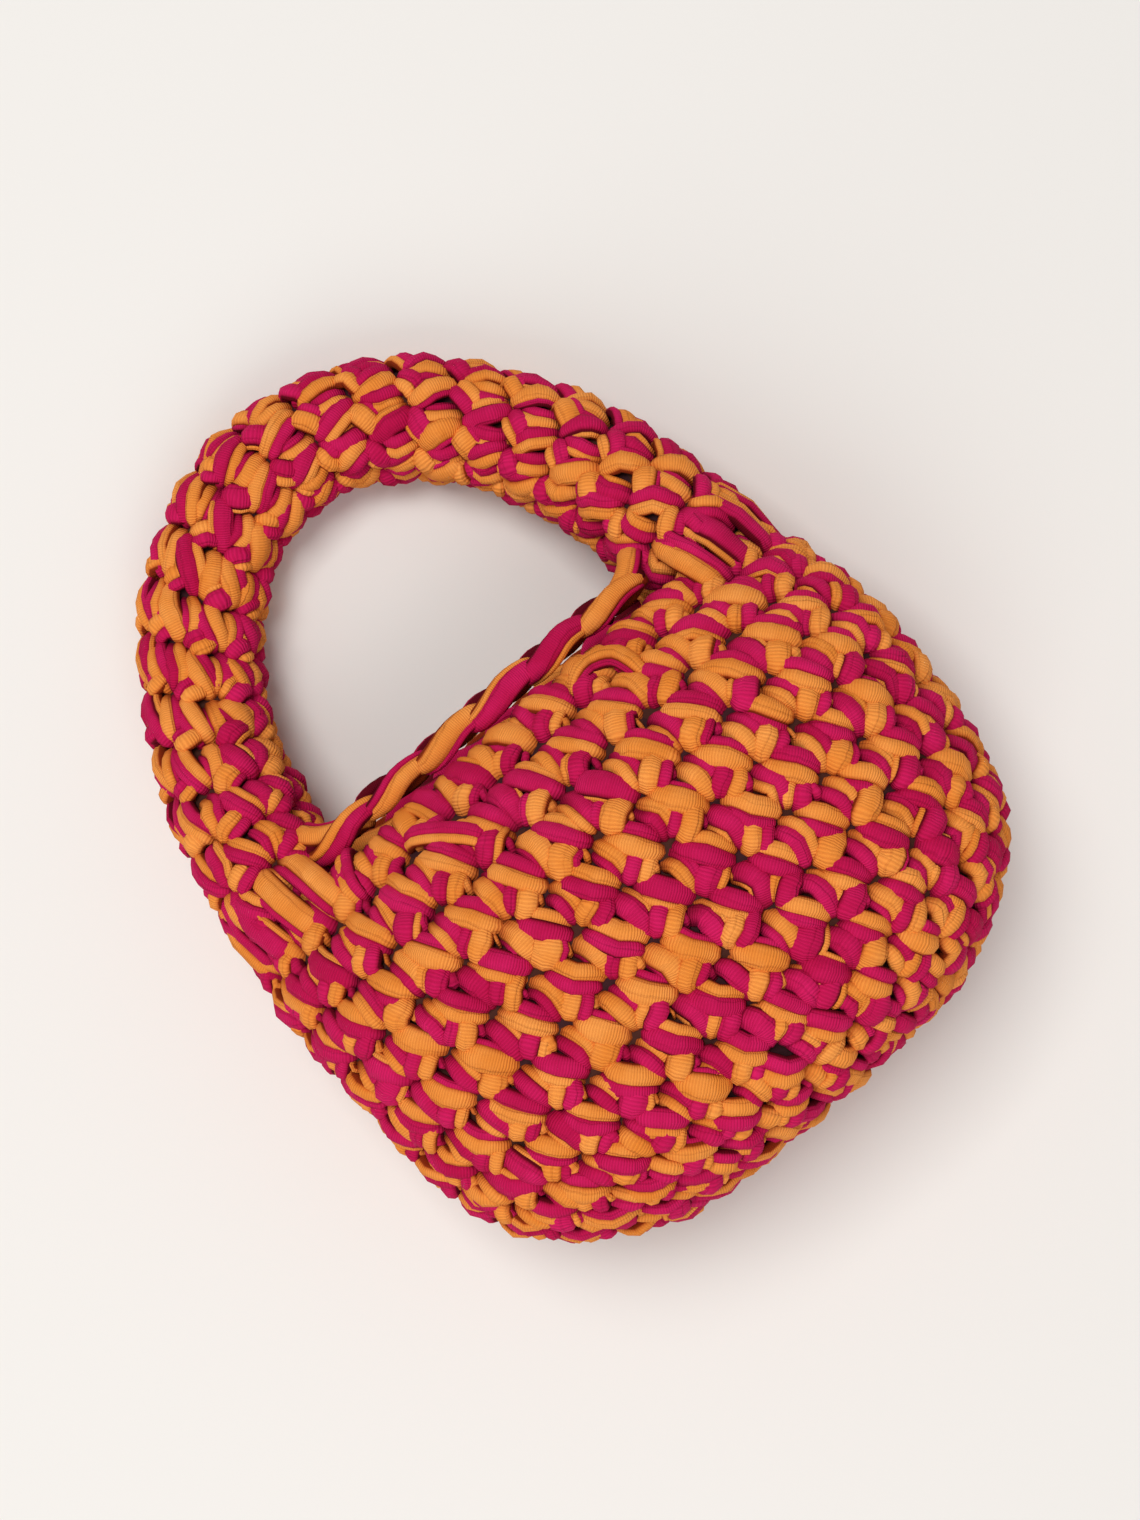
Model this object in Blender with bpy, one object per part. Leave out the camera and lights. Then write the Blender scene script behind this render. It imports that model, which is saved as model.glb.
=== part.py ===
"""A crocheted pouch handbag with one fixed loop handle, lying on its back.

+Y runs from the base of the pouch to the top of the handle, +X across the bag and
+Z from its back, which lies on the surface at Z = 0, to its front. Metres.
The pouch is one hollow shell worked in rounds. The handle is a thick crocheted tube
that stands on both ends of the rim, and a scalloped edging cord runs along the front
and the back of the mouth between its two feet.
"""
import math

import bmesh
import bpy
from mathutils import Vector

# The pouch: its sizes over the outside of the fabric
BAG_WIDTH = 0.246
BAG_DEPTH = 0.124
BODY_LENGTH = 0.174
BELLY_HEIGHT = 0.112
BASE_WIDTH = 0.090
BASE_DEPTH = 0.016
BASE_LIFT = 0.044
RIM_WIDTH = 0.234
RIM_DEPTH = 0.080
WALL = 0.014
SETTLE = 0.009
SECTION_POWER = 2.5
MOUTH_SLANT = 0.010
LEAN = 0.0040

# The stitches: how many there are, and how far a round and a stitch stand out
ROUNDS = 12
STITCHES = 32
ROUND_RELIEF = 0.0011
STITCH_RELIEF = 0.0006

# The handle: a tube that is wider and deeper at its feet than at its top
HANDLE_RISE = 0.1265
HANDLE_WIDTH = 0.045
HANDLE_DEPTH = 0.040
FOOT_WIDTH = 0.050
FOOT_DEPTH = 0.070
HANDLE_ROWS = 20
HANDLE_STITCHES = 8
HANDLE_POWER = 2.3

# The edging cords on the rim
CORD_DIAMETER = 0.0085
CORD_SCALLOP = 0.0030
CORD_LOOPS = 7
POINTS_PER_LOOP = 8

# The clearance that touching pieces keep
GAP = 0.0003

INNER_RING_STEP = 3
FINE_STEPS = 400
MATERIALS = {
    "body": ((0.48, 0.014, 0.10), 0.85),
    "handle": ((0.80, 0.29, 0.05), 0.85),
    "edging": ((0.55, 0.02, 0.12), 0.80),
}

# From the base to the belly: the rise from one to the other, and how much of the way
# the half width, the front and the back have gone from their base to their belly size
LOWER_FORM = [
    # rise, width, front, back
    (0.000, 0.000, 0.000, 0.00),
    (0.016, 0.156, 0.260, 0.22),
    (0.050, 0.290, 0.480, 0.44),
    (0.100, 0.430, 0.660, 0.65),
    (0.160, 0.570, 0.780, 0.81),
    (0.220, 0.690, 0.860, 0.90),
    (0.340, 0.835, 0.945, 0.98),
    (0.510, 0.935, 0.985, 1.00),
    (0.750, 0.985, 1.000, 1.00),
    (1.000, 1.000, 1.000, 1.00),
]

# From the belly to the rim: the same, on the way from the belly size to the rim size
UPPER_FORM = [
    # rise, width, front
    (0.00, 0.00, 0.00),
    (0.20, 0.02, 0.04),
    (0.40, 0.10, 0.19),
    (0.60, 0.26, 0.42),
    (0.80, 0.56, 0.70),
    (1.00, 1.00, 1.00),
]


def between(start, end, share):
    """The value that lies at a share of the way from start to end."""
    return start + (end - start) * share


def smooth(share):
    """A share eased at both ends, so that a form leaves and arrives level."""
    return share * share * (3 - 2 * share)


def read_form(table, rise):
    """A form table's columns at a rise, by a cubic through its rows that never overshoots."""
    last = len(table) - 2
    row = max(i for i in range(last + 1) if table[i][0] <= rise or i == 0)
    low, high = table[row], table[row + 1]
    step = high[0] - low[0]
    share = (rise - low[0]) / step

    def slope(i, column):
        before = max(i - 1, 0)
        after = min(i + 1, last + 1)
        if before == i or after == i:
            near = (table[i - 1], table[i]) if before != i else (table[i], table[i + 1])
            return (near[1][column] - near[0][column]) / (near[1][0] - near[0][0])
        left = (table[i][column] - table[before][column]) / (table[i][0] - table[before][0])
        right = (table[after][column] - table[i][column]) / (table[after][0] - table[i][0])
        return 0.0 if left * right <= 0 else 2 * left * right / (left + right)

    values = []
    for column in range(1, len(low)):
        m0 = slope(row, column) * step
        m1 = slope(row + 1, column) * step
        rest = 1 - share
        values.append(
            low[column] * rest * rest * (1 + 2 * share)
            + m0 * share * rest * rest
            + high[column] * share * share * (3 - 2 * share)
            - m1 * share * share * rest
        )
    return values


def body_section(height):
    """Half width, back and front of the pouch at a height above its base."""
    if height <= BELLY_HEIGHT:
        width, front, back = read_form(LOWER_FORM, height / BELLY_HEIGHT)
        return (
            between(BASE_WIDTH, BAG_WIDTH, width) / 2,
            between(BASE_LIFT, -SETTLE, back),
            between(BASE_LIFT + BASE_DEPTH, BAG_DEPTH, front),
        )
    rise = (height - BELLY_HEIGHT) / (BODY_LENGTH - BELLY_HEIGHT)
    width, front = read_form(UPPER_FORM, rise)
    return (
        between(BAG_WIDTH, RIM_WIDTH, width) / 2,
        -SETTLE,
        between(BAG_DEPTH, RIM_DEPTH, front),
    )


def oval(angle, power):
    """A unit superellipse: across at angle 0, and towards the front at a quarter turn."""
    across, up = math.cos(angle), math.sin(angle)
    return (
        math.copysign(abs(across) ** (2 / power), across),
        math.copysign(abs(up) ** (2 / power), up),
    )


def mouth_level(z):
    """How far from the base the rim lies: it slants, and its back is the shorter side."""
    return BODY_LENGTH - MOUTH_SLANT * (1 - z / RIM_DEPTH)


def body_point(height, angle):
    """A point of the pouch's smooth outer surface, before its back is laid flat.

    From the belly to the rim the form leans over to the left and takes up the slant.
    """
    half_width, back, front = body_section(height)
    across, up = oval(angle, SECTION_POWER)
    z = between((back + front) / 2, front, up)
    share = smooth(max(height - BELLY_HEIGHT, 0.0) / (BODY_LENGTH - BELLY_HEIGHT))
    slant = (BODY_LENGTH - mouth_level(z)) * share
    return Vector((half_width * across - LEAN * share, height - slant, z))


def even_heights(count):
    """Heights of rings that are evenly spaced along the fabric, from the base to the rim."""
    heights = [BODY_LENGTH * (i / FINE_STEPS) ** 2 for i in range(FINE_STEPS + 1)]
    lengths = [0.0]
    for low, high in zip(heights, heights[1:]):
        front = (body_point(high, math.pi / 2) - body_point(low, math.pi / 2)).length
        side = (body_point(high, 0) - body_point(low, 0)).length
        lengths.append(lengths[-1] + (front + side) / 2)
    found = []
    step = 0
    for i in range(count):
        target = lengths[-1] * i / (count - 1)
        while step < FINE_STEPS - 1 and lengths[step + 1] < target:
            step += 1
        share = (target - lengths[step]) / (lengths[step + 1] - lengths[step])
        found.append(between(heights[step], heights[step + 1], share))
    found[-1] = BODY_LENGTH
    return found


def outward(height, angle):
    """The outward direction of the pouch's smooth surface at a point."""
    reach = BODY_LENGTH / FINE_STEPS
    low = max(height - reach, 0.0)
    high = min(height + reach, BODY_LENGTH)
    turn = math.pi / FINE_STEPS
    along = body_point(high, angle) - body_point(low, angle)
    round_it = body_point(height, angle + turn) - body_point(height, angle - turn)
    return along.cross(round_it).normalized()


def stretched_angles(count):
    """Angles whose points are evenly spaced round the belly section."""
    fine = [body_point(BELLY_HEIGHT, 2 * math.pi * i / FINE_STEPS) for i in range(FINE_STEPS + 1)]
    lengths = [0.0]
    for low, high in zip(fine, fine[1:]):
        lengths.append(lengths[-1] + (high - low).length)
    angles = []
    step = 0
    for i in range(count):
        target = lengths[-1] * i / count
        while lengths[step + 1] < target:
            step += 1
        share = (target - lengths[step]) / (lengths[step + 1] - lengths[step])
        angles.append(2 * math.pi * (step + share) / FINE_STEPS)
    return angles


def relief(ring, column):
    """How far a stitch stands out: rounds alternate with grooves, and stitches with gaps."""
    round_side = 1 if ring % 2 else -1
    stitch_side = 1 if (column + ring // 2) % 2 else -1
    return ROUND_RELIEF * round_side + STITCH_RELIEF * stitch_side


def paint(item, name):
    """Gives an object its own material."""
    colour, roughness = MATERIALS[name]
    material = bpy.data.materials.new(item.name)
    material.use_nodes = True
    shader = material.node_tree.nodes["Principled BSDF"]
    shader.inputs["Base Color"].default_value = (*colour, 1.0)
    shader.inputs["Roughness"].default_value = roughness
    shader.inputs["Metallic"].default_value = 0.0
    item.data.materials.append(material)


def skin(name, rings, material):
    """A closed body through rings of points, each ring joined to the next and the ends capped."""
    shape = bmesh.new()
    loops = [[shape.verts.new(point) for point in ring] for ring in rings]
    for low, high in zip(loops, loops[1:]):
        for i, corner in enumerate(low):
            following = (i + 1) % len(low)
            shape.faces.new((corner, low[following], high[following], high[i]))
    shape.faces.new(list(reversed(loops[0])))
    shape.faces.new(loops[-1])
    bmesh.ops.recalc_face_normals(shape, faces=shape.faces)
    mesh = bpy.data.meshes.new(name)
    shape.to_mesh(mesh)
    shape.free()
    mesh.shade_smooth()
    item = bpy.data.objects.new(name, mesh)
    bpy.context.scene.collection.objects.link(item)
    paint(item, material)
    return item


def make_body():
    """The pouch: its outer rings from base to rim, then its inner rings back to the base."""
    angles = stretched_angles(2 * STITCHES)
    heights = even_heights(2 * ROUNDS + 1)
    outer = []
    for ring, height in enumerate(heights):
        points = []
        for column, angle in enumerate(angles):
            stand = relief(ring, column)
            shift = outward(height, angle) * stand
            point = body_point(height, angle) + shift
            point.z = max(point.z, 0.0)
            if ring == 0:
                point.y = 0.0
            if ring == len(heights) - 1:
                point.y = mouth_level(point.z)
            points.append(point)
        outer.append(points)
    inner = []
    for ring in range(len(heights) - 1, -1, -INNER_RING_STEP):
        height = heights[ring]
        points = []
        for angle in angles:
            point = body_point(height, angle) - outward(height, angle) * WALL
            point.z = max(point.z, WALL)
            point.y = max(point.y, WALL)
            if ring == len(heights) - 1:
                point.y = mouth_level(point.z)
            points.append(point)
        inner.append(points)
    return skin("body", outer + inner, "body")


def handle_size(share):
    """Half width and half depth of the handle at a share of the way from foot to top."""
    eased = smooth(min(share * 1.6, 1.0))
    return (
        between(FOOT_WIDTH, HANDLE_WIDTH, eased) / 2,
        between(FOOT_DEPTH, HANDLE_DEPTH, eased) / 2,
    )


def handle_foot():
    """Where the handle's feet stand: how far from the middle, and how high."""
    return RIM_WIDTH / 2 - FOOT_WIDTH / 2, RIM_DEPTH / 2


def handle_line(turn):
    """A point of the handle's centreline: turn 0 is one foot and a half turn the other."""
    reach, foot_level = handle_foot()
    share = math.sin(turn)
    top_level = HANDLE_DEPTH / 2 - SETTLE / 2
    level = between(foot_level, top_level, smooth(share))
    foot = mouth_level(foot_level) + GAP
    return Vector((-LEAN - reach * math.cos(turn), foot + HANDLE_RISE * share, level))


def make_handle():
    """The handle: rings set square to an arch that comes down to the surface at its top."""
    count = 2 * HANDLE_ROWS
    turns = [math.pi * i / count for i in range(count + 1)]
    rings = []
    for ring, turn in enumerate(turns):
        centre = handle_line(turn)
        half_width, half_depth = handle_size(math.sin(turn))
        slip = math.pi / FINE_STEPS
        ahead = handle_line(min(turn + slip, math.pi))
        behind = handle_line(max(turn - slip, 0.0))
        along = (ahead - behind).normalized()
        at_foot = ring in (0, count)
        if at_foot:
            along = Vector((0, 1, 0)) if ring == 0 else Vector((0, -1, 0))
        across = along.cross(Vector((0, 0, 1))).normalized()
        up = across.cross(along)
        points = []
        for column in range(2 * HANDLE_STITCHES):
            x, z = oval(math.pi * column / HANDLE_STITCHES, HANDLE_POWER)
            stand = 0.0 if at_foot else relief(ring, column)
            side = across * x * (half_width + stand)
            point = centre + side + up * z * (half_depth + stand)
            point.z = max(point.z, 0.0)
            if at_foot:
                point.y = mouth_level(point.z) + GAP
            points.append(point)
        rings.append(points)
    return skin("handle", rings, "handle")


def cord_reach(level):
    """How far from the middle an edging cord may run at a level before it meets a foot."""
    reach, foot_level = handle_foot()
    away = max(abs(level - foot_level) - CORD_DIAMETER / 2, 0.0)
    share = min(away / (FOOT_DEPTH / 2), 1.0)
    half_width = FOOT_WIDTH / 2 * (1 - share**HANDLE_POWER) ** (1 / HANDLE_POWER)
    return reach - half_width - STITCH_RELIEF - ROUND_RELIEF - GAP


def make_cord(name, side):
    """An edging cord along the front (side 1) or the back (side -1) of the mouth.

    It follows the middle of the rim's wall, touches it once a loop and rises between,
    which leaves the small gaps that show under the edge.
    """
    half_width, back, front = body_section(BODY_LENGTH)
    half_width -= WALL / 2
    floor_side = WALL / 2
    middle = (back + front) / 2
    half_depth = (front - back) / 2 - WALL / 2

    def wall_level(x):
        share = (1 - (abs(x) / half_width) ** SECTION_POWER) ** (1 / SECTION_POWER)
        return max(middle + side * half_depth * share, floor_side)

    end = cord_reach(wall_level(0.0))
    for _ in range(FINE_STEPS):
        end = between(end, cord_reach(wall_level(end)), 0.2)
    count = CORD_LOOPS * POINTS_PER_LOOP
    radius = CORD_DIAMETER / 2
    line = bpy.data.curves.new(name, "CURVE")
    line.dimensions = "3D"
    spline = line.splines.new("POLY")
    spline.points.add(count)
    for i in range(count + 1):
        x = between(-end, end, i / count)
        lift = CORD_SCALLOP * (0.5 - 0.5 * math.cos(2 * math.pi * i / POINTS_PER_LOOP))
        level = wall_level(x)
        y = mouth_level(level) + GAP + radius + lift
        spline.points[i].co = (x - LEAN, y, level, 1.0)
    line.bevel_depth = radius
    line.bevel_resolution = 2
    line.use_fill_caps = True
    item = bpy.data.objects.new(name, line)
    bpy.context.scene.collection.objects.link(item)
    paint(item, "edging")
    return item


def main():
    """Clears the scene and builds the bag, its base towards -Y and its middle at Y = 0."""
    for old in list(bpy.data.objects):
        bpy.data.objects.remove(old)
    bag = bpy.data.objects.new("bag", None)
    bpy.context.scene.collection.objects.link(bag)
    pieces = [
        make_body(),
        make_handle(),
        make_cord("mouth_edge_front", 1),
        make_cord("mouth_edge_back", -1),
    ]
    for piece in pieces:
        piece.parent = bag
    whole = mouth_level(RIM_DEPTH / 2) + GAP + HANDLE_RISE + HANDLE_WIDTH / 2
    bag.location = (0.0, -whole / 2, 0.0)


main()
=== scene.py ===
import math

import bpy
import numpy as np
from mathutils import Euler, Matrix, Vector


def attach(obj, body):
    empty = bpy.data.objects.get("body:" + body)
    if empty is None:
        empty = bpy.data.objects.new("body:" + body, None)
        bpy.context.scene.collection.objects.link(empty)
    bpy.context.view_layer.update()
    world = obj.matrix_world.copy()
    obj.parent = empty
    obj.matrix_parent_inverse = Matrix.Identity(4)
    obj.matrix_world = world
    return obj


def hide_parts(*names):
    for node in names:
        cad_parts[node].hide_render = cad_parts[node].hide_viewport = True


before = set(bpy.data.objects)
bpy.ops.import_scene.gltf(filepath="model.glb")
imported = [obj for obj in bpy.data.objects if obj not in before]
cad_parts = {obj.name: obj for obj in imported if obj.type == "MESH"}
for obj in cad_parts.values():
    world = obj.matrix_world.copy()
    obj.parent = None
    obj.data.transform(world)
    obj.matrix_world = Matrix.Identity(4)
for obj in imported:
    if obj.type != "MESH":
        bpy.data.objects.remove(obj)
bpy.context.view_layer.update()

# THE POUCH'S FORM
# A soft bag crocheted in rounds from a short chain at its base up to the mouth. It lies on
# its back, which is pressed flat, and its front falls away to the mouth.
# All lengths are metres. The base is at -Y and the mouth at +Y.
bag_width = 0.246
bag_depth = 0.124
body_length = 0.174
belly_height = 0.112
base_width = 0.090
base_depth = 0.016
base_lift = 0.044
rim_width = 0.234
rim_depth = 0.080
settle = 0.009
section_power = 2.5
mouth_slant = 0.010
lean = 0.0040
gap = 0.0003
handle_rise = 0.1265
handle_width = 0.045
handle_depth = 0.040
foot_width = 0.050
foot_depth = 0.070
base_y = -(body_length - mouth_slant / 2 + gap + handle_rise + handle_width / 2) / 2
rounds = 12
fabric_rise = 0.58  # how much higher a round lies on the right than on the left, in rounds

# The share of the way from the base to the belly, and that of the width, front and back
lower_form = np.array([
    [0.000, 0.000, 0.000, 0.00],
    [0.016, 0.156, 0.260, 0.22],
    [0.050, 0.290, 0.480, 0.44],
    [0.100, 0.430, 0.660, 0.65],
    [0.160, 0.570, 0.780, 0.81],
    [0.220, 0.690, 0.860, 0.90],
    [0.340, 0.835, 0.945, 0.98],
    [0.510, 0.935, 0.985, 1.00],
    [0.750, 0.985, 1.000, 1.00],
    [1.000, 1.000, 1.000, 1.00],
])
# From the belly to the rim: the share of the way, and that of the width and front
upper_form = np.array([
    [0.00, 0.00, 0.00],
    [0.20, 0.02, 0.04],
    [0.40, 0.10, 0.19],
    [0.60, 0.26, 0.42],
    [0.80, 0.56, 0.70],
    [1.00, 1.00, 1.00],
])


def follow(table, share, column):
    """A column's value at each share: a cubic between rows, level wherever the rows turn."""
    x, y = table[:, 0], table[:, column]
    slope = np.diff(y) / np.diff(x)
    turns = slope[1:] * slope[:-1] <= 0
    middle = 2 * slope[1:] * slope[:-1] / np.where(turns, 1, slope[1:] + slope[:-1])
    tangent = np.concatenate([slope[:1], np.where(turns, 0, middle), slope[-1:]])
    row = np.clip(np.searchsorted(x, share, side="right") - 1, 0, len(x) - 2)
    step = x[row + 1] - x[row]
    t = (share - x[row]) / step
    u = 1 - t
    return (
        y[row] * u * u * (1 + 2 * t)
        + tangent[row] * step * t * u * u
        + y[row + 1] * t * t * (3 - 2 * t)
        - tangent[row + 1] * step * t * t * u
    )


def blend_of(start, end, share):
    """The value a share of the way from start to end."""
    return start + (end - start) * share


def oval(turn, power):
    """Across and up on a unit superellipse: the 2/power powers of the cosine and sine."""
    across, up = np.cos(2 * np.pi * turn), np.sin(2 * np.pi * turn)
    return (
        np.sign(across) * np.abs(across) ** (2 / power),
        np.sign(up) * np.abs(up) ** (2 / power),
    )


def pouch_points(height, turn):
    """The pouch's outside: superellipses whose width, front and back follow the tables."""
    low = np.clip(height / belly_height, 0, 1)
    high = np.clip((height - belly_height) / (body_length - belly_height), 0, 1)
    half = blend_of(base_width, bag_width, follow(lower_form, low, 1))
    half = (half + (rim_width - bag_width) * follow(upper_form, high, 1)) / 2
    front = blend_of(base_lift + base_depth, bag_depth, follow(lower_form, low, 2))
    front = front + (rim_depth - bag_depth) * follow(upper_form, high, 2)
    back = blend_of(base_lift, -settle, follow(lower_form, low, 3))
    across, up = oval(turn, section_power)
    z = (back + front) / 2 + (front - back) / 2 * up
    eased = high * high * (3 - 2 * high)
    slant = mouth_slant * (1 - z / rim_depth) * eased
    y = base_y + height - slant
    return np.stack([half * across - lean * eased, y, z], -1)


def evenly(points, count, axis):
    """Points resampled along one axis at even lengths of the polyline they make there."""
    points = np.moveaxis(points, axis, 0)
    steps = np.linalg.norm(np.diff(points, axis=0), axis=-1)
    length = np.concatenate([np.zeros((1, steps.shape[1])), np.cumsum(steps, 0)])
    length = length / length[-1]
    out = np.empty((count, points.shape[1], 3))
    for line in range(points.shape[1]):
        for part in range(3):
            even = np.linspace(0, 1, count)
            out[:, line, part] = np.interp(even, length[:, line], points[:, line, part])
    return np.moveaxis(out, 0, axis)


def with_normals(points):
    """A grid's points and outward normals: the cross product of its two differences."""
    along = np.gradient(points, axis=0)
    ahead, behind = np.roll(points, -1, 1), np.roll(points, 1, 1)
    normal = np.cross(along, ahead - behind)
    normal /= np.linalg.norm(normal, axis=-1, keepdims=True)
    return points, normal


def form_grid(points_at, rings, columns):
    """The grid of a form: even steps from end to end, then even steps round each ring."""
    share, turn = np.meshgrid(
        np.linspace(0, 1, 600) ** 2, np.linspace(0, 1, 721), indexing="ij"
    )
    grid = points_at(share, turn)
    mean = grid[:, ::90]
    steps = np.linalg.norm(np.diff(mean, axis=0), axis=-1).mean(1)
    length = np.concatenate([[0], np.cumsum(steps)])
    shares = np.interp(np.linspace(0, length[-1], rings), length, share[:, 0])
    share, turn = np.meshgrid(shares, np.linspace(0, 1, 721), indexing="ij")
    grid = evenly(points_at(share, turn), columns + 1, 1)[:, :-1]
    return with_normals(grid)


def on_form(form, ring, turn, height):
    """Points at a height off a form's grid, linear between its points and past its ends."""
    points, normals = form
    rings, columns = points.shape[:2]
    ring = ring * (rings - 1)
    low = np.clip(np.floor(ring).astype(int), 0, rings - 2)
    s = (ring - low)[..., None]
    place = (turn % 1) * columns
    left = np.floor(place).astype(int) % columns
    right = (left + 1) % columns
    t = (place - np.floor(place))[..., None]

    def mix(field):
        return (field[low, left] * (1 - t) + field[low, right] * t) * (1 - s) + (
            field[low + 1, left] * (1 - t) + field[low + 1, right] * t
        ) * s

    normal = mix(normals)
    normal /= np.linalg.norm(normal, axis=-1, keepdims=True)
    return mix(points) + normal * height[..., None], normal


def rested(points):
    """Fabric pressed on the surface: below 3 mm its height fades exponentially to zero."""
    low = 0.003
    z = points[..., 2]
    points[..., 2] = np.where(z < low, low * np.exp(np.minimum(z / low - 1, 0)), z)
    return points


def mesh_of(name, points, corners, sizes, uv=None, slots=None, values=()):
    """A smooth mesh from points, one run of face corners, and each face's corner count.

    Values are pairs of a name and a number for each point.
    """
    mesh = bpy.data.meshes.new(name)
    mesh.vertices.add(len(points))
    mesh.vertices.foreach_set("co", np.ascontiguousarray(points, np.float32).ravel())
    mesh.loops.add(len(corners))
    mesh.loops.foreach_set("vertex_index", np.ascontiguousarray(corners, np.int32))
    mesh.polygons.add(len(sizes))
    starts = np.concatenate([[0], np.cumsum(sizes)[:-1]])
    mesh.polygons.foreach_set("loop_start", starts.astype(np.int32))
    mesh.polygons.foreach_set("loop_total", np.ascontiguousarray(sizes, np.int32))
    if uv is not None:
        layer = mesh.uv_layers.new(name="yarn")
        layer.uv.foreach_set("vector", np.ascontiguousarray(uv, np.float32).ravel())
    if slots is not None:
        mesh.polygons.foreach_set("material_index", np.ascontiguousarray(slots, np.int32))
    for label, numbers in values:
        own = mesh.attributes.new(label, "FLOAT", "POINT")
        own.data.foreach_set("value", np.ascontiguousarray(numbers, np.float32))
    mesh.update(calc_edges=True)
    mesh.shade_smooth()
    piece = bpy.data.objects.new(name, mesh)
    bpy.context.scene.collection.objects.link(piece)
    return piece


pouch = form_grid(lambda share, turn: pouch_points(share * body_length, turn), 193, 384)

# THE JERSEY YARN
# Strips of cotton jersey that curl into soft flat tubes, one orange and one magenta, worked
# together. Fine ribs cross each strip, and long creases show where its edges rolled in.


class Value:
    """A socket whose arithmetic adds Math nodes."""

    def __init__(self, graph, socket):
        self.graph = graph
        self.socket = socket

    def math(self, operation, *others):
        return self.graph.node("ShaderNodeMath", {"operation": operation}, [self, *others])

    def __add__(self, other):
        return self.math("ADD", other)

    def __sub__(self, other):
        return self.math("SUBTRACT", other)

    def __mul__(self, other):
        return self.math("MULTIPLY", other)

    def __rsub__(self, other):
        return self.graph.node("ShaderNodeMath", {"operation": "SUBTRACT"}, [other, self])

    def __truediv__(self, other):
        return self.math("DIVIDE", other)

    __radd__ = __add__
    __rmul__ = __mul__

    def power(self, other):
        return self.math("POWER", other)

    def size(self):
        return self.math("ABSOLUTE")

    def least(self, other):
        return self.math("MINIMUM", other)

    def most(self, other):
        return self.math("MAXIMUM", other)

    def sine(self):
        return self.math("SINE")

    def fraction(self):
        return self.math("FRACT")

    def band(self, low, high):
        """A smooth rise from 0 at low to 1 at high."""
        settings = {"interpolation_type": "SMOOTHSTEP"}
        return self.graph.node("ShaderNodeMapRange", settings, [self, low, high])


class Graph:
    """A material's node graph, with one method that adds any node."""

    def __init__(self, name):
        self.material = bpy.data.materials.new(name)
        self.material.use_nodes = True
        self.tree = self.material.node_tree
        self.tree.nodes.clear()

    def node(self, kind, settings=None, inputs=(), output=0):
        """A node of a kind, its settings made first, then its sockets' values or links."""
        made = self.tree.nodes.new(kind)
        for key, value in (settings or {}).items():
            if key == "stops":
                ramp = made.color_ramp
                while len(ramp.elements) < len(value):
                    ramp.elements.new(0.5)
                for element, (place, colour) in zip(ramp.elements, value):
                    element.position = place
                    element.color = (*colour, 1)
            else:
                setattr(made, key, value)
        pairs = inputs.items() if isinstance(inputs, dict) else enumerate(inputs)
        for key, value in pairs:
            socket = made.inputs[key]
            if isinstance(value, Value):
                self.tree.links.new(value.socket, socket)
            elif value is not None:
                is_colour = socket.type == "RGBA" and len(value) == 3
                socket.default_value = (*value, 1) if is_colour else value
        return Value(self, made.outputs[output])

    def mix(self, share, first, second, way="MIX"):
        """A colour a share of the way from the first colour to the second."""
        settings = {"data_type": "RGBA", "blend_type": way}
        return self.node("ShaderNodeMix", settings, {0: share, 6: first, 7: second}, 2)

    def finish(self, **inputs):
        """The Principled shader with the given sockets, joined to the material's output."""
        names = {key.replace("_", " "): value for key, value in inputs.items()}
        shader = self.node("ShaderNodeBsdfPrincipled", None, names)
        self.node_output(shader)
        return self.material

    def node_output(self, shader):
        made = self.tree.nodes.new("ShaderNodeOutputMaterial")
        self.tree.links.new(shader.socket, made.inputs["Surface"])


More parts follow.
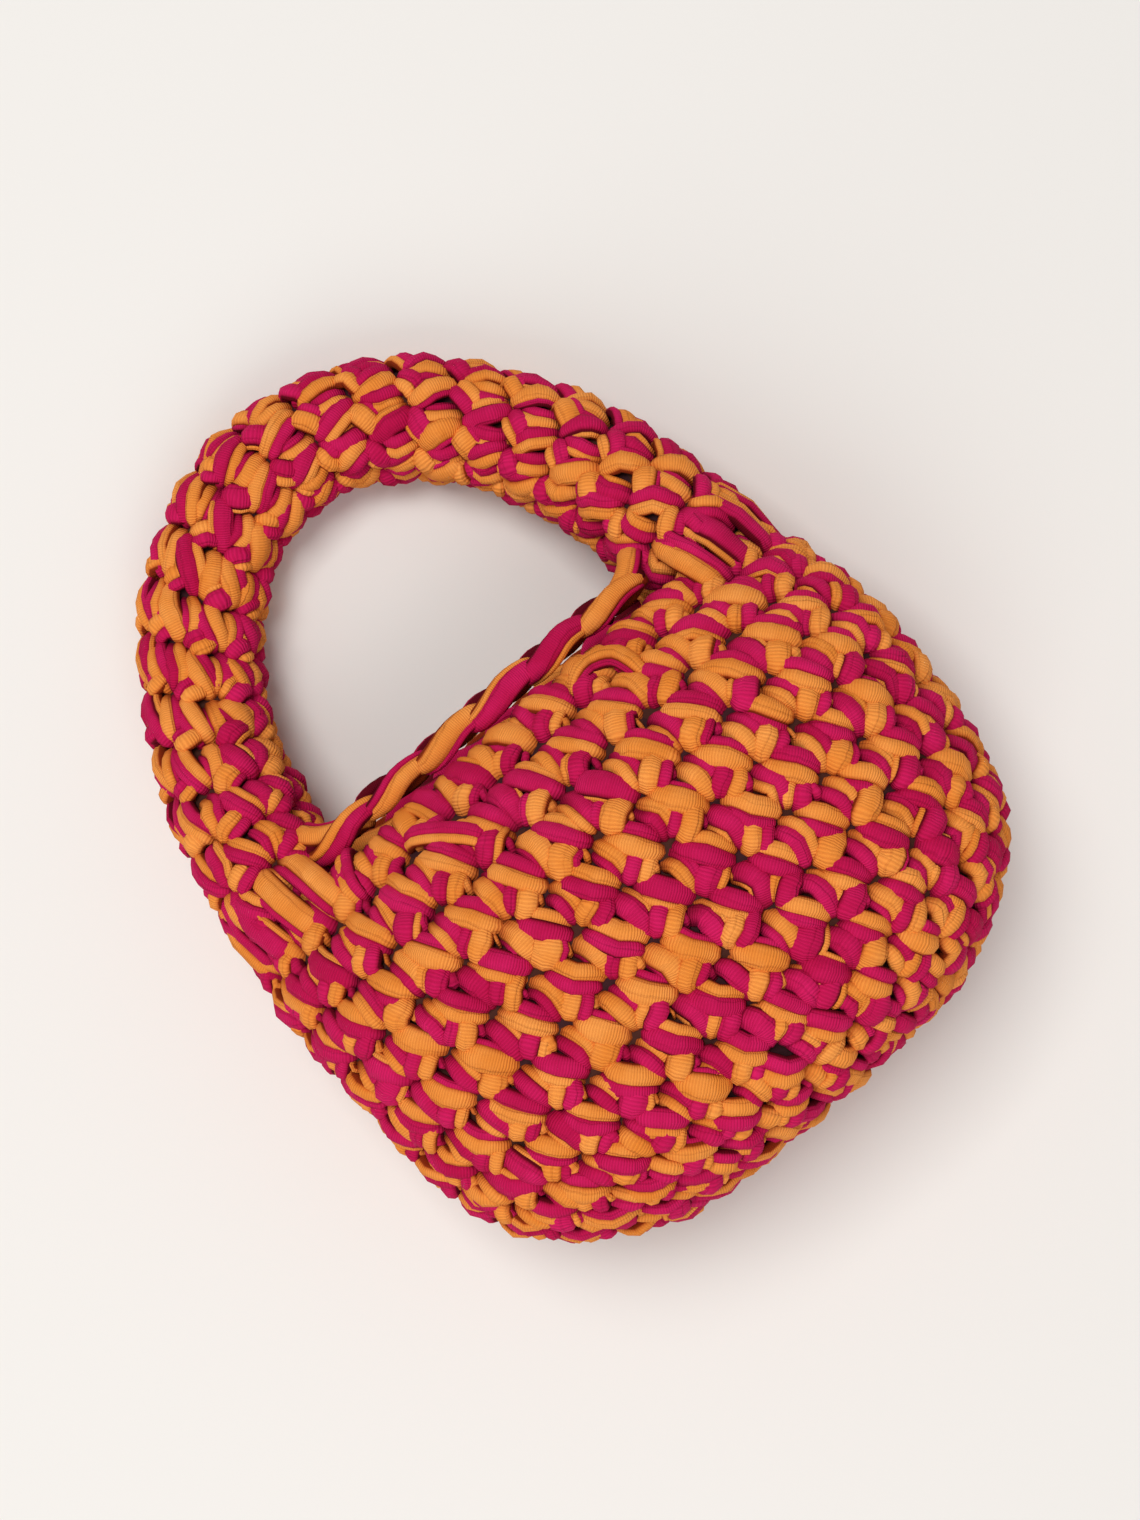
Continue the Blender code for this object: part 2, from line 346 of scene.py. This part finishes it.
def jersey(name, shadow, shade_colour, base, light):
    """Jersey strip: ribs across it, creases along it, a slow change of tone, and painted shade.

    The strand's UV holds its length and its width's place in rib pitches and turns. Painted
    shade darkens rib valleys, crease lines, the strand's sides and where it dips between
    its neighbours, to a painted shadow colour at the deepest.
    """
    g = Graph(name)
    place = g.node("ShaderNodeUVMap", {"uv_map": "yarn"})
    along = g.node("ShaderNodeSeparateXYZ", None, [place], 0)
    around = g.node("ShaderNodeSeparateXYZ", None, [place], 1)
    strand = g.node("ShaderNodeAttribute", {"attribute_name": "strand"}, (), 2)
    depth = g.node("ShaderNodeAttribute", {"attribute_name": "depth"}, (), 2)
    where = g.node("ShaderNodeTexCoord", None, (), 3)
    cloud = g.node(
        "ShaderNodeTexNoise", None, {"Vector": where, "Scale": 90.0, "Detail": 3.0}
    )
    fuzz = g.node(
        "ShaderNodeTexNoise", None, {"Vector": where, "Scale": 1400.0, "Detail": 4.0}
    )
    ribs = (along * (2 * math.pi) + cloud * 3.0).sine()
    knit = (around * (2 * math.pi * 15) + fuzz * 2.0).sine()
    crease = 1 - (around - (0.15 + strand * 0.1) + (cloud - 0.5) * 0.16).size().band(0.0, 0.022)
    crease2 = 1 - (around - (0.30 + strand * 0.09) - (cloud - 0.5) * 0.16).size().band(0.0, 0.022)
    some = (strand * 7.0).sine().band(-0.2, 0.4)
    lines = (crease * some).most(crease2 * strand.band(0.45, 0.6))
    tone = (cloud.band(0.35, 0.7) * 0.5 + strand * 0.5).least(1.0)
    colour = g.mix(tone, base, light)
    # Painted shade: the rib valleys and the crease lines are darkened towards the shade colour.
    colour = g.mix((1 - ribs.band(-1.0, 0.3)) * 0.22, colour, shade_colour)
    colour = g.mix(lines * 0.16, colour, shade_colour)
    # Painted shade: the strand's sides and where it dips between its neighbours darken towards the
    # shade colour, the deepest and outermost parts towards the painted shadow colour.
    edge = (around - 0.25).size().band(0.10, 0.235)
    colour = g.mix((depth.band(0.16, 0.50) * 0.6).most(edge * edge * 0.95), colour, shade_colour)
    colour = g.mix((depth.band(0.34, 0.75)).most(edge.band(0.80, 1.0) * 0.7), colour, shadow)
    height = ribs * 0.22 + knit * 0.04 + fuzz * 0.18 - lines * 0.5 + cloud * 0.6
    normal = g.node(
        "ShaderNodeBump", None, {"Height": height, "Distance": 0.0006, "Strength": 0.8}
    )
    return g.finish(
        Base_Color=colour,
        Roughness=0.86,
        Normal=normal,
        Specular_IOR_Level=0.12,
        Sheen_Weight=0.03,
        Sheen_Roughness=0.5,
        Sheen_Tint=(*light, 1),
    )


# Each yarn's colours: painted shadow, painted shade, its own base colour and its own lighter tone.
orange_yarn = jersey(
    "orange jersey",
    (0.15, 0.008, 0.001), (0.42, 0.052, 0.006), (0.84, 0.255, 0.034), (0.98, 0.37, 0.080),
)
magenta_yarn = jersey(
    "magenta jersey",
    (0.070, 0.0004, 0.004), (0.20, 0.001, 0.015), (0.50, 0.0040, 0.068), (0.68, 0.012, 0.125),
)

# THE POUCH'S BACKING
# The inner side of the crochet, seen between the stitches and inside the mouth: the same two
# strands, packed close, their colours painted near black as shade. Its outside lies a strand
# and a half below the stitches' tops.
wall = 0.0098
backing_depth = 0.0062


def shell_faces(rings, columns):
    """Corners and counts of quads on a grid of rings that closes round, with end caps."""
    ring, column = np.meshgrid(np.arange(rings - 1), np.arange(columns), indexing="ij")
    a = ring * columns + column
    b = ring * columns + (column + 1) % columns
    quads = np.stack([a, b, b + columns, a + columns], -1).reshape(-1)
    first = np.arange(columns)[::-1]
    last = (rings - 1) * columns + np.arange(columns)
    corners = np.concatenate([quads, first, last])
    sizes = np.concatenate([np.full((rings - 1) * columns, 4), [columns, columns]])
    return corners, sizes


def pouch_backing():
    """The shell: rings up its outside, over the rim and down its inside."""
    turns = np.linspace(0, 1, 192, endpoint=False)
    up = np.linspace(0, 1, 97)
    lump = 0.0008
    rows = []
    for shares, depth, side in ((up, backing_depth, 1), (up[::-1], wall, -1)):
        ring, turn = np.meshgrid(shares, turns, indexing="ij")
        knobs = np.cos(2 * np.pi * ring * rounds) * np.cos(2 * np.pi * turn * 32)
        points, _ = on_form(pouch, ring, turn, -depth - side * lump * knobs)
        points[..., 2] = np.maximum(points[..., 2], 0.003 if side > 0 else wall - 0.002)
        points[..., 1] = np.maximum(points[..., 1], base_y + depth)
        rows.append(points)
    grid = np.concatenate(rows)
    corners, sizes = shell_faces(len(grid), 192)
    return mesh_of("pouch_backing", grid.reshape(-1, 3), corners, sizes)


def backing_yarn():
    """Packed strands out of the light: warped cells in the two colours, painted dark as shade."""
    g = Graph("packed jersey in painted shade")
    where = g.node("ShaderNodeTexCoord", None, (), 3)
    cells = g.node(
        "ShaderNodeTexVoronoi", {"feature": "F1"}, {"Vector": where, "Scale": 150.0}, 1
    )
    shade = g.node("ShaderNodeSeparateColor", None, [cells], 0)
    # Painted shade: both yarn colours darkened almost to black.
    colour = g.mix(shade.band(0.45, 0.5), (0.030, 0.0008, 0.004), (0.050, 0.008, 0.002))
    cloud = g.node(
        "ShaderNodeTexNoise", None, {"Vector": where, "Scale": 320.0, "Detail": 3.0}
    )
    normal = g.node(
        "ShaderNodeBump", None, {"Height": cloud, "Distance": 0.001, "Strength": 0.7}
    )
    return g.finish(Base_Color=colour, Roughness=0.9, Normal=normal)


shaded_packed_yarn = backing_yarn()
backing = pouch_backing()
backing.data.materials.append(shaded_packed_yarn)
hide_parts("body")
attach(backing, "root")

# THE POUCH'S STITCHES
# Rounds of single crochet, seen from the right side. Each stitch is a V of two strand pairs:
# the left leg lies on top, the right leg is tucked under the round above, and a short bar
# crosses from the foot of the V to the next stitch.
stitch_width = 0.0202
rng = np.random.default_rng(11)

# Per piece of yarn: where it runs, across in stitches, up in rounds, its height and width in
# millimetres, and its share of the full thickness
left_leg = np.array([
    [-0.62, 0.89, -10.0, 8.8, 0.90],
    [-0.60, 0.86, -6.8, 9.8, 0.95],
    [-0.53, 0.74, -4.1, 10.9, 1.00],
    [-0.37, 0.48, -2.4, 11.4, 1.05],
    [-0.21, 0.23, -4.1, 10.4, 1.00],
    [-0.15, 0.12, -6.6, 9.0, 0.95],
    [-0.13, 0.09, -10.0, 7.6, 0.90],
])
right_leg = np.array([
    [-0.01, 0.90, -10.0, 7.8, 0.90],
    [0.01, 0.86, -7.2, 8.8, 0.95],
    [0.09, 0.73, -4.9, 10.0, 1.00],
    [0.15, 0.49, -3.3, 10.4, 1.05],
    [0.12, 0.25, -4.9, 9.2, 1.00],
    [0.08, 0.15, -7.0, 7.8, 0.95],
    [0.06, 0.12, -10.0, 6.8, 0.90],
])
bar = np.array([
    [0.21, -0.05, -10.0, 8.4, 0.90],
    [0.21, -0.02, -5.8, 9.8, 0.95],
    [0.28, 0.04, -3.5, 11.2, 1.00],
    [0.42, 0.13, -2.7, 11.6, 1.00],
    [0.57, 0.23, -4.6, 10.8, 1.00],
    [0.74, 0.32, -8.2, 8.8, 0.90],
])
lobe = np.array([
    [0.60, 0.08, -7.0, 4.8, 0.90],
    [0.57, -0.03, -4.7, 5.6, 1.00],
    [0.54, -0.12, -5.2, 5.6, 1.00],
    [0.51, -0.18, -8.6, 4.8, 0.90],
])


def spline_weights(controls, samples):
    """The matrix that takes control values to samples of the Catmull-Rom curve by them."""
    weights = np.zeros((samples, controls))
    place = np.linspace(0, controls - 1, samples)
    low = np.minimum(np.floor(place).astype(int), controls - 2)
    t = place - low
    parts = (
        (-t + 2 * t**2 - t**3) / 2,
        (2 - 5 * t**2 + 3 * t**3) / 2,
        (t + 4 * t**2 - 3 * t**3) / 2,
        (-(t**2) + t**3) / 2,
    )
    for shift, part in zip((-1, 0, 1, 2), parts):
        index = np.clip(low + shift, 0, controls - 1)
        np.add.at(weights, (np.arange(samples), index), part)
    return weights


def strand_rings(line, normal, width, thick, shift, roll, sides):
    """Rings of flattened tubes: a superellipse across each line, its flat side out."""
    along = np.gradient(line, axis=1)
    along /= np.linalg.norm(along, axis=-1, keepdims=True)
    chord = line[:, -1:] - line[:, :1]
    chord /= np.linalg.norm(chord, axis=-1, keepdims=True)
    side = np.cross(along + chord, normal)
    side -= along * (side * along).sum(-1, keepdims=True)
    side /= np.linalg.norm(side, axis=-1, keepdims=True)
    up = np.cross(side, along)
    cosine, sine = np.cos(roll)[:, None, None], np.sin(roll)[:, None, None]
    side, up = side * cosine + up * sine, up * cosine - side * sine
    line = line + side * shift[..., None]
    across, high = oval(np.arange(sides) / sides, 2.0)
    rings = (
        line[:, :, None]
        + side[:, :, None] * (across[:, None] * width[:, :, None, None] / 2)
        + up[:, :, None] * (high[:, None] * thick[:, :, None, None] / 2)
    )
    steps = np.linalg.norm(np.diff(line, axis=1), axis=-1)
    length = np.concatenate([np.zeros((len(line), 1)), np.cumsum(steps, 1)], 1)
    return rings, length


def strand_pairs(line, normal, height, width, fullness, sides):
    """Two strands side by side along each line: rings, lengths, colours and depths.

    The pair's width is shared between its strands by chance, and either may be left.
    """
    count = len(line)
    share = rng.choice([0.5, 0.62, 0.38, 0.8, 0.2], count, p=[0.28, 0.21, 0.21, 0.15, 0.15])
    share = share + rng.normal(0, 0.04, count)
    order = rng.random(count) < 0.5
    high = oval(np.arange(sides) / sides, 2.0)[1]
    made = []
    for first in (True, False):
        own = (share if first else 1 - share)[:, None]
        strand_width = width * own + 0.0006
        body = np.minimum(0.0062, 0.0016 + 0.68 * strand_width) * fullness
        edge = (width - strand_width) / 2 * (-1 if first else 1)
        roll = rng.normal(0, 0.12, count) + (0.10 if first else -0.10)
        lift = rng.normal(0, 0.0003, count)[:, None]
        lifted = line + normal * lift[..., None]
        rings, length = strand_rings(lifted, normal, strand_width, body, edge, roll, sides)
        # The depth below the pair's crest, which the jersey material uses to paint shade.
        depth = -(height + lift)[..., None] - high * body[..., None] / 2
        made.append((rings, length, np.where(order == first, 0, 1), depth / 0.009))
    return made


def yarn_arcs(form, table, stitches, samples, sides, bulk=1.0, deepest=-10.0):
    """Both strands of one arc of yarn in every stitch, each a little out of place."""
    count = len(stitches["turn"])
    weights = spline_weights(len(table), samples)
    spread = np.array([0.03, 0.03, 0.4, 0.6, 0.05])
    control = table[None] + rng.normal(0, 1, (count, len(table), 5)) * spread * 0.6
    control = control + rng.normal(0, 1, (count, 1, 5)) * spread * 0.6
    values = np.einsum("sk,nkc->nsc", weights, control)
    across = values[..., 0] + stitches["stitch"][:, None]
    turn = across / stitches["number"][:, None]
    up = stitches["round"][:, None] + values[..., 1]
    ring, turn = stitches["place"](up, turn)
    height = np.maximum(values[..., 2], deepest) / 1000 * bulk
    line, normal = on_form(form, ring, turn, height)
    return strand_pairs(line, normal, height, values[..., 3] / 1000 * bulk, values[..., 4], sides)


def yarn_piece(name, arcs, rib_pitch=0.00072):
    """One mesh from arcs of strands: quads between rings, a cap at each end of a strand."""
    points, corners, sizes, uvs, slots, strands, depths = [], [], [], [], [], [], []
    start = 0
    for rings, length, colour, depth in arcs:
        count, samples, sides = rings.shape[:3]
        index = start + np.arange(count * samples * sides).reshape(count, samples, sides)
        nxt = np.roll(index, -1, 2)
        quad = np.stack([index[:, :-1], nxt[:, :-1], nxt[:, 1:], index[:, 1:]], -1)
        u = length / rib_pitch + rng.random((count, 1)) * 20
        v = np.arange(sides + 1) / sides
        low_u = np.broadcast_to(u[:, :-1, None], (count, samples - 1, sides))
        high_u = np.broadcast_to(u[:, 1:, None], (count, samples - 1, sides))
        low_v = np.broadcast_to(v[:-1], low_u.shape)
        high_v = np.broadcast_to(v[1:], low_u.shape)
        quad_uv = np.stack([
            np.stack([low_u, low_v], -1),
            np.stack([low_u, high_v], -1),
            np.stack([high_u, high_v], -1),
            np.stack([high_u, low_v], -1),
        ], -2)
        caps = np.stack([index[:, 0, ::-1], index[:, -1]], 1)
        corners += [quad.reshape(-1), caps.reshape(-1)]
        sizes += [np.full(quad[..., 0].size, 4), np.full(2 * count, sides)]
        uvs += [quad_uv.reshape(-1, 2), np.zeros((caps.size, 2))]
        faces = (samples - 1) * sides
        slots += [np.repeat(colour, faces), np.repeat(colour, 2)]
        own = np.broadcast_to(rng.random((count, 1, 1)), (count, samples, sides))
        strands.append(own.reshape(-1))
        depths.append(depth.reshape(-1))
        points.append(rings.reshape(-1, 3))
        start += count * samples * sides
    piece = mesh_of(
        name,
        rested(np.concatenate(points)),
        np.concatenate(corners),
        np.concatenate(sizes),
        np.concatenate(uvs),
        np.concatenate(slots),
        (("strand", np.concatenate(strands)), ("depth", np.concatenate(depths))),
    )
    piece.data.materials.append(orange_yarn)
    piece.data.materials.append(magenta_yarn)
    return piece


def pouch_place(up, turn):
    """Ring and turn on the pouch: rounds climb a little to the right, but not at the ends."""
    around = 0.5 - turn
    calm = np.clip(np.sin(np.pi * np.clip(up / rounds, 0, 1)) * 1.6, 0, 1)
    climb = fabric_rise / 2 * np.cos(2 * np.pi * around) * calm
    return (up + climb) / (rounds - 0.15), around


def pouch_stitches(first, last):
    """The stitches of some rounds: each round has as many as fit, shifted on by a fifth."""
    found = {"stitch": [], "number": [], "round": []}
    grid = pouch[0]
    for number in range(first, last):
        ring = grid[min(int((number + 0.5) / rounds * (len(grid) - 1)), len(grid) - 1)]
        girth = np.linalg.norm(np.roll(ring, -1, 0) - ring, axis=-1).sum()
        fit = 32 if number >= 4 else int(round(girth / stitch_width))
        found["stitch"].append(np.arange(fit) + 0.22 * number)
        found["number"].append(np.full(fit, fit))
        found["round"].append(np.full(fit, number))
    stitches = {key: np.concatenate(value).astype(float) for key, value in found.items()}
    stitches["turn"] = stitches["stitch"]
    stitches["place"] = pouch_place
    return stitches


for name, first, last in (
    ("pouch_stitches_base", 0, 4),
    ("pouch_stitches_lower", 4, 7),
    ("pouch_stitches_middle", 7, 10),
    ("pouch_stitches_mouth", 10, 12),
):
    group = pouch_stitches(first, last)
    arcs = yarn_arcs(pouch, left_leg, group, 11, 8)
    arcs += yarn_arcs(pouch, right_leg, group, 11, 8)
    arcs += yarn_arcs(pouch, bar, group, 9, 8)
    arcs += yarn_arcs(pouch, lobe, group, 5, 8)[:1]
    piece = yarn_piece(name, arcs)
    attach(piece, "root")

# THE POUCH'S INSIDE
# The wrong side of the same rounds, seen through the mouth: plainer legs with no bars.
lining_depth = 0.0138
inside = (pouch[0] - pouch[1] * lining_depth, -pouch[1])
for name, first, last in (("pouch_inside_lower", 0, 7), ("pouch_inside_upper", 7, 12)):
    group = pouch_stitches(first, last)
    arcs = yarn_arcs(inside, left_leg, group, 8, 6, deepest=-4.4)
    arcs += yarn_arcs(inside, right_leg, group, 8, 6, deepest=-4.4)
    piece = yarn_piece(name, arcs)
    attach(piece, "root")

# THE FIRST CHAIN
# The chain that the rounds start from, along the middle of the base.
link = np.array([
    [-0.04, -1.5, -7.0, 6.0, 0.90],
    [0.03, -1.2, -3.4, 7.6, 1.00],
    [0.35, -0.5, -1.4, 9.4, 1.15],
    [0.75, 0.4, -1.6, 9.0, 1.15],
    [1.08, 0.5, -3.2, 7.4, 1.00],
    [1.22, 0.2, -7.0, 5.6, 0.90],
])


def tube_form(middles, radius):
    """A round tube along a line of middles, its rings square to X."""
    y, z = oval(np.arange(32) / 32, 2.0)
    spokes = np.stack([0 * y, y, z], -1)[None]
    points = middles[:, None] + radius * spokes
    return points, np.broadcast_to(spokes, points.shape)


def chain_arcs(form, links, start, tilt):
    """Links one after another along a tube, round it at a start turn."""
    first = np.arange(links, dtype=float)
    group = {
        "stitch": first,
        "turn": first,
        "number": np.full(links, links + 0.2),
        "round": np.zeros(links),
        "place": lambda up, turn: (turn, start - tilt * up),
    }
    return yarn_arcs(form, link, group, 15, 10)


base_middle = pouch[0][0].mean(0)
line = base_middle + np.linspace([-0.042, 0.0052, 0], [0.042, 0.0052, 0], 33)
piece = yarn_piece("base_chain", chain_arcs(tube_form(line, 0.0050), 4, 0.5, 0.1))
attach(piece, "root")

# THE LOOSE LOOPS
# A few strand pairs were pulled over-long and lie across the stitches below the mouth.


def loop_arcs(places, width, samples, sides):
    """Strand pairs laid over the pouch's front through places given in X and Y."""
    front = pouch[1][..., 2] > 0.25
    points, normals = pouch[0][front], pouch[1][front]
    weights = spline_weights(places.shape[1], samples)
    flat = np.einsum("sk,nkc->nsc", weights, places)
    near = np.linalg.norm(points[None, None, :, :2] - flat[:, :, None], axis=-1).argmin(-1)
    share = np.linspace(-1, 1, samples)
    height = np.broadcast_to(-0.0006 - 0.007 * share**6, near.shape)
    line = np.concatenate([flat, points[near][..., 2:]], -1)
    line = line + normals[near] * height[..., None]
    wide = np.broadcast_to(width * (1 - 0.2 * share**4), near.shape)
    return strand_pairs(line, normals[near], height, wide, np.ones(near.shape), sides)


loops = np.array([
    [[-0.0505, 0.1642], [-0.0420, 0.1590], [-0.0345, 0.1530], [-0.0285, 0.1470]],
    [[0.0236, 0.1650], [0.0330, 0.1675], [0.0420, 0.1635], [0.0446, 0.1540]],
    [[-0.0694, 0.1740], [-0.0715, 0.1700], [-0.0735, 0.1650], [-0.0745, 0.1600]],
])
loops[..., 1] += base_y
piece = yarn_piece("loose_loops", loop_arcs(loops, 0.0078, 13, 10))
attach(piece, "root")

# THE HANDLE
# A thick tube crocheted in the same way, in short rounds of eight stitches, and stuffed. It
# stands on both ends of the rim and comes down to the surface at its top.
handle_rounds = 20
handle_stitches = 8
foot_level = rim_depth / 2
reach = rim_width / 2 - foot_width / 2


def handle_points(share, turn):
    """The handle's outside: superellipses square to an arch, its half ellipse from above."""
    angle = np.pi * share
    height = np.sin(angle)
    eased = height * height * (3 - 2 * height)
    start = base_y + body_length - mouth_slant * (1 - foot_level / rim_depth) + gap
    top_level = handle_depth / 2 - settle / 2
    centre = np.stack([
        -lean - reach * np.cos(angle),
        start + handle_rise * height,
        blend_of(foot_level, top_level, eased),
    ], -1)
    fade = 6 * height * (1 - height)
    along = np.stack([
        reach * np.sin(angle),
        handle_rise * np.cos(angle),
        (top_level - foot_level) * fade * np.cos(angle),
    ], -1)
    along /= np.linalg.norm(along, axis=-1, keepdims=True)
    across = np.cross(along, np.array([0.0, 0.0, 1.0]))
    across /= np.linalg.norm(across, axis=-1, keepdims=True)
    up = np.cross(across, along)
    slim = np.minimum(height * 1.6, 1)
    slim = slim * slim * (3 - 2 * slim)
    half_width = blend_of(foot_width, handle_width, slim) / 2
    half_depth = blend_of(foot_depth, handle_depth, slim) / 2
    x, z = oval(turn, 2.3)
    return centre + across * (x * half_width)[..., None] + up * (z * half_depth)[..., None]


share, turn = np.meshgrid(np.linspace(0, 1, 241), np.linspace(0, 1, 361), indexing="ij")
tube = evenly(handle_points(share, turn), 193, 1)[:, :-1]
tube = evenly(tube, 241, 0)
handle_form = with_normals(tube)
handle_form = (handle_form[0], -handle_form[1]) if (
    handle_form[1][120, 0] @ (tube[120, 0] - tube[120].mean(0)) < 0
) else handle_form


def handle_backing():
    """The stuffed tube under the handle's stitches, closed at both feet."""
    turns = np.linspace(0, 1, 96, endpoint=False)
    ring, turn = np.meshgrid(np.linspace(0, 1, 121), turns, indexing="ij")
    points, _ = on_form(handle_form, ring, turn, np.full(ring.shape, -backing_depth))
    points[..., 2] = np.maximum(points[..., 2], 0.003)
    corners, sizes = shell_faces(121, 96)
    return mesh_of("handle_backing", points.reshape(-1, 3), corners, sizes)


def handle_place(up, turn):
    """Ring and turn on the handle, its rounds climbing by one stitch in each turn."""
    return up / handle_rounds, 0.25 - turn


core = handle_backing()
# The core wears the same near-black painted shade as the pouch's backing.
core.data.materials.append(shaded_packed_yarn)
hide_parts("handle")
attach(core, "root")

for name, first, last in (("handle_stitches_left", 0, 10), ("handle_stitches_right", 10, 20)):
    number = np.repeat(np.arange(first, last), handle_stitches).astype(float)
    stitch = np.tile(np.arange(handle_stitches), last - first) + 0.3 * number
    group = {
        "stitch": stitch,
        "turn": stitch,
        "number": np.full(len(stitch), float(handle_stitches)),
        "round": number,
        "place": handle_place,
    }
    arcs = yarn_arcs(handle_form, left_leg, group, 11, 8, 0.88)
    arcs += yarn_arcs(handle_form, right_leg, group, 11, 8, 0.88)
    arcs += yarn_arcs(handle_form, bar, group, 9, 8, 0.88)
    piece = yarn_piece(name, arcs)
    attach(piece, "root")

# THE SHOULDERS
# Where each foot of the handle meets the rim, over-long strand pairs run from the last round
# of the pouch to the first of the handle and cover the join.


def shoulder_arcs(end, slant, samples, sides):
    """Strand pairs from the pouch's ring near the rim to the handle's ring near one foot."""
    turns = (np.arange(13) + 0.5) / 13
    ring = np.full(13, 0.05 if end < 0 else 0.95)
    tops, top_normals = on_form(handle_form, ring, turns, np.zeros(13))
    row = int(0.935 * (len(pouch[0]) - 1))
    spread = pouch[0][row][None] - (tops - np.array([0.0, 0.030, 0.0]))[:, None]
    away = np.linalg.norm(spread, axis=-1)
    near = away.argmin(1)
    kept = away.min(1) < 0.021
    near = (near[kept] + slant) % pouch[0].shape[1]
    feet, foot_normals = pouch[0][row][near], pouch[1][row][near]
    share = np.linspace(0, 1, samples)[None, :, None]
    eased = share * share * (3 - 2 * share)
    normal = foot_normals[:, None] * (1 - eased) + top_normals[kept][:, None] * eased
    normal /= np.linalg.norm(normal, axis=-1, keepdims=True)
    height = np.interp(share[..., 0], [0, 0.14, 0.5, 0.86, 1], [-9, -3.6, -1.4, -3.6, -9]) / 1000
    height = np.broadcast_to(height, normal.shape[:2])
    line = feet[:, None] * (1 - share) + tops[kept][:, None] * share
    line = line + normal * height[..., None]
    width = np.full(height.shape, 0.0112)
    return strand_pairs(line, normal, height, width, np.ones(height.shape), sides)


def corner_arcs(end, samples, sides):
    """Strand pairs that curve from the handle's inner side down into the mouth's edges."""
    ring = 0.065 if end < 0 else 0.935
    turns = np.arange(48) / 48
    points, normals = on_form(handle_form, np.full(48, ring), turns, np.zeros(48))
    share = np.linspace(0, 1, samples)
    lines, fronts = [], []
    for side in (1, -1):
        facing = normals @ np.array([-0.85 * end, 0.0, 0.5 * side])
        start = points[facing.argmax()] - normals[facing.argmax()] * 0.002
        depth = (rim_depth + settle) / 2 - 0.007
        z = (rim_depth - settle) / 2 + side * depth * 0.93
        mouth = base_y + body_length - mouth_slant * (1 - z / rim_depth)
        stop = np.array([end * 0.050 - lean, mouth + 0.0040, z])
        bend = np.array([start[0] - end * 0.001, stop[1] + 0.004, z])
        lines.append(
            (1 - share)[:, None] ** 2 * start
            + 2 * (share * (1 - share))[:, None] * bend
            + share[:, None] ** 2 * stop
        )
        fronts.append(np.broadcast_to([-0.45 * end, 0.35, 0.82 * side], (samples, 3)))
    line, normal = np.array(lines), np.array(fronts)
    height = np.broadcast_to(-0.0025 - 0.004 * (2 * share - 1) ** 6, line.shape[:2])
    width = np.broadcast_to(0.0100 - 0.003 * share, line.shape[:2])
    line = line + normal * (height + 0.0025)[..., None]
    return strand_pairs(line, normal, height, width, np.ones(width.shape), sides)


for name, end, slant in (("shoulder_left", -1, -6), ("shoulder_right", 1, -4)):
    arcs = shoulder_arcs(end, slant, 13, 10) + corner_arcs(end, 13, 10)
    piece = yarn_piece(name, arcs)
    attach(piece, "root")

# THE MOUTH'S EDGES
# The last strand pair runs along the front and the back of the rim as a chain of long links,
# each tucked under the next, so that small gaps open between it and the stitches.
edge_radius = 0.0054
half = rim_width / 2 - 0.007
for name, node, side in (
    ("mouth_edge_front_yarn", "mouth_edge_front", 1),
    ("mouth_edge_back_yarn", "mouth_edge_back", -1),
):
    depth = (rim_depth + settle) / 2 - 0.007
    x = np.linspace(-0.074, 0.070, 97)
    swell = (1 - np.abs(x / half) ** section_power) ** (1 / section_power)
    z = np.maximum((rim_depth - settle) / 2 + side * depth * swell, 0.008)
    y = base_y + body_length - mouth_slant * (1 - z / rim_depth) + 0.0056
    tube = tube_form(np.stack([x - lean, y, z], -1), edge_radius)
    arcs = chain_arcs(tube, 6, 0.25, 0.1 * side) + chain_arcs(tube, 6, 0.75, 0.1 * side)
    piece = yarn_piece(name, arcs)
    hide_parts(node)
    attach(piece, "root")

# THE SURFACE AND THE LIGHT
# A plain pale surface, and one broad soft light from beyond the handle with an even fill.
floor_mesh = bpy.data.meshes.new("floor")
floor_mesh.from_pydata([(-4, -4, 0), (4, -4, 0), (4, 4, 0), (-4, 4, 0)], [], [(0, 1, 2, 3)])
floor = bpy.data.objects.new("floor", floor_mesh)
bpy.context.scene.collection.objects.link(floor)
paper = Graph("pale surface")
floor_mesh.materials.append(paper.finish(Base_Color=(0.86, 0.845, 0.825, 1), Roughness=0.9))

world = bpy.data.worlds.new("studio")
world.use_nodes = True
world.node_tree.nodes["Background"].inputs["Color"].default_value = (1.0, 0.98, 0.96, 1)
world.node_tree.nodes["Background"].inputs["Strength"].default_value = 0.34
bpy.context.scene.world = world
bpy.context.scene.view_settings.view_transform = "Standard"


def soft_light(name, place, size, power, colour):
    """A square area light that looks at the bag."""
    light = bpy.data.lights.new(name, "AREA")
    light.size = size
    light.energy = power
    light.color = colour
    lamp = bpy.data.objects.new(name, light)
    lamp.location = place
    lamp.rotation_euler = (Vector((0, 0, 0.05)) - Vector(place)).to_track_quat("-Z", "Y").to_euler()
    bpy.context.scene.collection.objects.link(lamp)


soft_light("window", (-0.15, 1.05, 2.9), 1.4, 54, (1.0, 0.985, 0.96))
soft_light("reflector", (-0.9, -1.1, 1.5), 1.5, 14, (1.0, 0.985, 0.96))

# THE CAMERA
# It looks straight down at the bag, which lies turned across the picture.
lens = bpy.data.cameras.new("camera")
lens.lens = 58
lens.sensor_width = 36
lens.clip_start = 0.01
camera = bpy.data.objects.new("camera", lens)
camera.location = (0.0082, base_y + 0.147, 0.893)
camera.rotation_euler = Euler((0, 0, math.radians(-40.6)))
bpy.context.scene.collection.objects.link(camera)
bpy.context.scene.camera = camera
